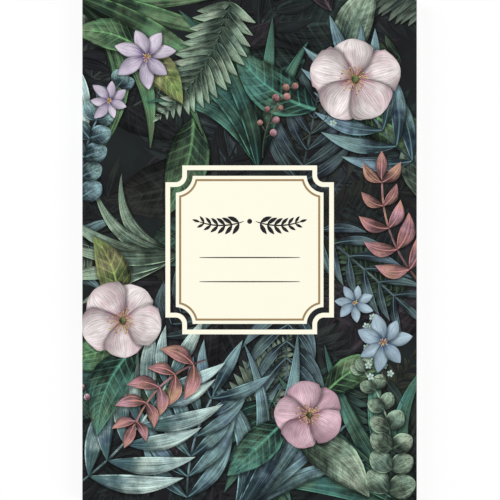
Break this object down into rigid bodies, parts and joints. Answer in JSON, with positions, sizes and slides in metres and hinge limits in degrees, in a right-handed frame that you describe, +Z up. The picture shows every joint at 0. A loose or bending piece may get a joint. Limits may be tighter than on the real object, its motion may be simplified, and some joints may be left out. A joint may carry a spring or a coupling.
{
  "type": "address book",
  "caption": "Perfect-bound paperback address book with a floral printed cover, a framed label plaque and lettered leaf sections that fan open from a glued spine.",
  "frame": {"origin": "middle of the back cover's outer face, on which the closed book lies", "axes": "+X from the spine to the fore-edge, +Y from the foot to the head, +Z up through the front cover"},
  "size_m": [0.1524, 0.2286, 0.007],
  "materials": {
    "cover_print": "matte",
    "cover_card": "matte",
    "leaf_paper": "matte",
    "binding_glue": "satin"
  },
  "bodies": {
    "back": {"back_cover": "cover_card", "back_film": "cover_print"},
    "spine": {"spine_cover": "cover_card", "spine_film": "cover_print", "spine_glue": "binding_glue"},
    "front": {"front_cover": "cover_card", "front_film": "cover_print"},
    "owner_leaves": {"owner_leaves": "leaf_paper"},
    "leaves_a": {"leaves_a": "leaf_paper"},
    "leaves_b": {"leaves_b": "leaf_paper"},
    "leaves_c": {"leaves_c": "leaf_paper"},
    "leaves_d": {"leaves_d": "leaf_paper"},
    "leaves_e": {"leaves_e": "leaf_paper"},
    "leaves_f": {"leaves_f": "leaf_paper"},
    "leaves_g": {"leaves_g": "leaf_paper"},
    "leaves_h": {"leaves_h": "leaf_paper"},
    "leaves_i": {"leaves_i": "leaf_paper"},
    "leaves_j": {"leaves_j": "leaf_paper"},
    "leaves_k": {"leaves_k": "leaf_paper"},
    "leaves_l": {"leaves_l": "leaf_paper"},
    "leaves_m": {"leaves_m": "leaf_paper"},
    "leaves_n": {"leaves_n": "leaf_paper"},
    "leaves_o": {"leaves_o": "leaf_paper"},
    "leaves_p": {"leaves_p": "leaf_paper"},
    "leaves_q": {"leaves_q": "leaf_paper"},
    "leaves_r": {"leaves_r": "leaf_paper"},
    "leaves_s": {"leaves_s": "leaf_paper"},
    "leaves_t": {"leaves_t": "leaf_paper"},
    "leaves_u": {"leaves_u": "leaf_paper"},
    "leaves_v": {"leaves_v": "leaf_paper"},
    "leaves_w": {"leaves_w": "leaf_paper"},
    "leaves_x": {"leaves_x": "leaf_paper"},
    "leaves_y": {"leaves_y": "leaf_paper"},
    "leaves_z": {"leaves_z": "leaf_paper"},
    "notes_leaves": {"notes_leaves": "leaf_paper"}
  },
  "joints": [
    {"name": "spine_fold", "type": "hinge", "parent": "back", "child": "spine", "pos_m": [-0.0762, 0, 0], "axis": [0, -1, 0], "range_deg": [0, 90]},
    {"name": "cover_fold", "type": "hinge", "parent": "spine", "child": "front", "pos_m": [-0.0762, 0, 0.007], "axis": [0, -1, 0], "range_deg": [0, 90.05]},
    {"name": "turn_owner_leaves", "type": "hinge", "parent": "spine", "child": "owner_leaves", "pos_m": [-0.0753, 0, 0.0066], "axis": [0, -1, 0], "range_deg": [0, 86.84]},
    {"name": "turn_leaves_a", "type": "hinge", "parent": "spine", "child": "leaves_a", "pos_m": [-0.0753, 0, 0.00637], "axis": [0, -1, 0], "range_deg": [0, 80.41]},
    {"name": "turn_leaves_b", "type": "hinge", "parent": "spine", "child": "leaves_b", "pos_m": [-0.0753, 0, 0.00615], "axis": [0, -1, 0], "range_deg": [0, 73.98]},
    {"name": "turn_leaves_c", "type": "hinge", "parent": "spine", "child": "leaves_c", "pos_m": [-0.0753, 0, 0.00592], "axis": [0, -1, 0], "range_deg": [0, 67.55]},
    {"name": "turn_leaves_d", "type": "hinge", "parent": "spine", "child": "leaves_d", "pos_m": [-0.0753, 0, 0.00568], "axis": [0, -1, 0], "range_deg": [0, 61.12]},
    {"name": "turn_leaves_e", "type": "hinge", "parent": "spine", "child": "leaves_e", "pos_m": [-0.0753, 0, 0.00545], "axis": [0, -1, 0], "range_deg": [0, 54.69]},
    {"name": "turn_leaves_f", "type": "hinge", "parent": "spine", "child": "leaves_f", "pos_m": [-0.0753, 0, 0.00522], "axis": [0, -1, 0], "range_deg": [0, 48.26]},
    {"name": "turn_leaves_g", "type": "hinge", "parent": "spine", "child": "leaves_g", "pos_m": [-0.0753, 0, 0.005], "axis": [0, -1, 0], "range_deg": [0, 41.84]},
    {"name": "turn_leaves_h", "type": "hinge", "parent": "spine", "child": "leaves_h", "pos_m": [-0.0753, 0, 0.00477], "axis": [0, -1, 0], "range_deg": [0, 35.41]},
    {"name": "turn_leaves_i", "type": "hinge", "parent": "spine", "child": "leaves_i", "pos_m": [-0.0753, 0, 0.00453], "axis": [0, -1, 0], "range_deg": [0, 28.98]},
    {"name": "turn_leaves_j", "type": "hinge", "parent": "spine", "child": "leaves_j", "pos_m": [-0.0753, 0, 0.0043], "axis": [0, -1, 0], "range_deg": [0, 22.55]},
    {"name": "turn_leaves_k", "type": "hinge", "parent": "spine", "child": "leaves_k", "pos_m": [-0.0753, 0, 0.00407], "axis": [0, -1, 0], "range_deg": [0, 16.12]},
    {"name": "turn_leaves_l", "type": "hinge", "parent": "spine", "child": "leaves_l", "pos_m": [-0.0753, 0, 0.00384], "axis": [0, -1, 0], "range_deg": [0, 9.69]},
    {"name": "turn_leaves_m", "type": "hinge", "parent": "spine", "child": "leaves_m", "pos_m": [-0.0753, 0, 0.00362], "axis": [0, -1, 0], "range_deg": [0, 3.26]},
    {"name": "turn_leaves_n", "type": "hinge", "parent": "spine", "child": "leaves_n", "pos_m": [-0.0753, 0, 0.00338], "axis": [0, -1, 0], "range_deg": [-3.26, 0]},
    {"name": "turn_leaves_o", "type": "hinge", "parent": "spine", "child": "leaves_o", "pos_m": [-0.0753, 0, 0.00315], "axis": [0, -1, 0], "range_deg": [-9.69, 0]},
    {"name": "turn_leaves_p", "type": "hinge", "parent": "spine", "child": "leaves_p", "pos_m": [-0.0753, 0, 0.00293], "axis": [0, -1, 0], "range_deg": [-16.12, 0]},
    {"name": "turn_leaves_q", "type": "hinge", "parent": "spine", "child": "leaves_q", "pos_m": [-0.0753, 0, 0.00269], "axis": [0, -1, 0], "range_deg": [-22.55, 0]},
    {"name": "turn_leaves_r", "type": "hinge", "parent": "spine", "child": "leaves_r", "pos_m": [-0.0753, 0, 0.00247], "axis": [0, -1, 0], "range_deg": [-28.98, 0]},
    {"name": "turn_leaves_s", "type": "hinge", "parent": "spine", "child": "leaves_s", "pos_m": [-0.0753, 0, 0.00224], "axis": [0, -1, 0], "range_deg": [-35.41, 0]},
    {"name": "turn_leaves_t", "type": "hinge", "parent": "spine", "child": "leaves_t", "pos_m": [-0.0753, 0, 0.002], "axis": [0, -1, 0], "range_deg": [-41.84, 0]},
    {"name": "turn_leaves_u", "type": "hinge", "parent": "spine", "child": "leaves_u", "pos_m": [-0.0753, 0, 0.00178], "axis": [0, -1, 0], "range_deg": [-48.26, 0]},
    {"name": "turn_leaves_v", "type": "hinge", "parent": "spine", "child": "leaves_v", "pos_m": [-0.0753, 0, 0.00154], "axis": [0, -1, 0], "range_deg": [-54.69, 0]},
    {"name": "turn_leaves_w", "type": "hinge", "parent": "spine", "child": "leaves_w", "pos_m": [-0.0753, 0, 0.00131], "axis": [0, -1, 0], "range_deg": [-61.12, 0]},
    {"name": "turn_leaves_x", "type": "hinge", "parent": "spine", "child": "leaves_x", "pos_m": [-0.0753, 0, 0.00109], "axis": [0, -1, 0], "range_deg": [-67.55, 0]},
    {"name": "turn_leaves_y", "type": "hinge", "parent": "spine", "child": "leaves_y", "pos_m": [-0.0753, 0, 0.00085], "axis": [0, -1, 0], "range_deg": [-73.98, 0]},
    {"name": "turn_leaves_z", "type": "hinge", "parent": "spine", "child": "leaves_z", "pos_m": [-0.0753, 0, 0.00063], "axis": [0, -1, 0], "range_deg": [-80.41, 0]},
    {"name": "turn_notes_leaves", "type": "hinge", "parent": "spine", "child": "notes_leaves", "pos_m": [-0.0753, 0, 0.0004], "axis": [0, -1, 0], "range_deg": [-86.84, 0]}
  ],
  "couplings": [
    {"joint": "cover_fold", "follows": "spine_fold", "ratio": 1},
    {"joint": "turn_owner_leaves", "follows": "spine_fold", "ratio": 0.96429},
    {"joint": "turn_leaves_a", "follows": "spine_fold", "ratio": 0.89286},
    {"joint": "turn_leaves_b", "follows": "spine_fold", "ratio": 0.82143},
    {"joint": "turn_leaves_c", "follows": "spine_fold", "ratio": 0.75},
    {"joint": "turn_leaves_d", "follows": "spine_fold", "ratio": 0.67857},
    {"joint": "turn_leaves_e", "follows": "spine_fold", "ratio": 0.60714},
    {"joint": "turn_leaves_f", "follows": "spine_fold", "ratio": 0.53571},
    {"joint": "turn_leaves_g", "follows": "spine_fold", "ratio": 0.46429},
    {"joint": "turn_leaves_h", "follows": "spine_fold", "ratio": 0.39286},
    {"joint": "turn_leaves_i", "follows": "spine_fold", "ratio": 0.32143},
    {"joint": "turn_leaves_j", "follows": "spine_fold", "ratio": 0.25},
    {"joint": "turn_leaves_k", "follows": "spine_fold", "ratio": 0.17857},
    {"joint": "turn_leaves_l", "follows": "spine_fold", "ratio": 0.10714},
    {"joint": "turn_leaves_m", "follows": "spine_fold", "ratio": 0.035714},
    {"joint": "turn_leaves_n", "follows": "spine_fold", "ratio": -0.035714},
    {"joint": "turn_leaves_o", "follows": "spine_fold", "ratio": -0.10714},
    {"joint": "turn_leaves_p", "follows": "spine_fold", "ratio": -0.17857},
    {"joint": "turn_leaves_q", "follows": "spine_fold", "ratio": -0.25},
    {"joint": "turn_leaves_r", "follows": "spine_fold", "ratio": -0.32143},
    {"joint": "turn_leaves_s", "follows": "spine_fold", "ratio": -0.39286},
    {"joint": "turn_leaves_t", "follows": "spine_fold", "ratio": -0.46429},
    {"joint": "turn_leaves_u", "follows": "spine_fold", "ratio": -0.53571},
    {"joint": "turn_leaves_v", "follows": "spine_fold", "ratio": -0.60714},
    {"joint": "turn_leaves_w", "follows": "spine_fold", "ratio": -0.67857},
    {"joint": "turn_leaves_x", "follows": "spine_fold", "ratio": -0.75},
    {"joint": "turn_leaves_y", "follows": "spine_fold", "ratio": -0.82143},
    {"joint": "turn_leaves_z", "follows": "spine_fold", "ratio": -0.89286},
    {"joint": "turn_notes_leaves", "follows": "spine_fold", "ratio": -0.96429}
  ]
}
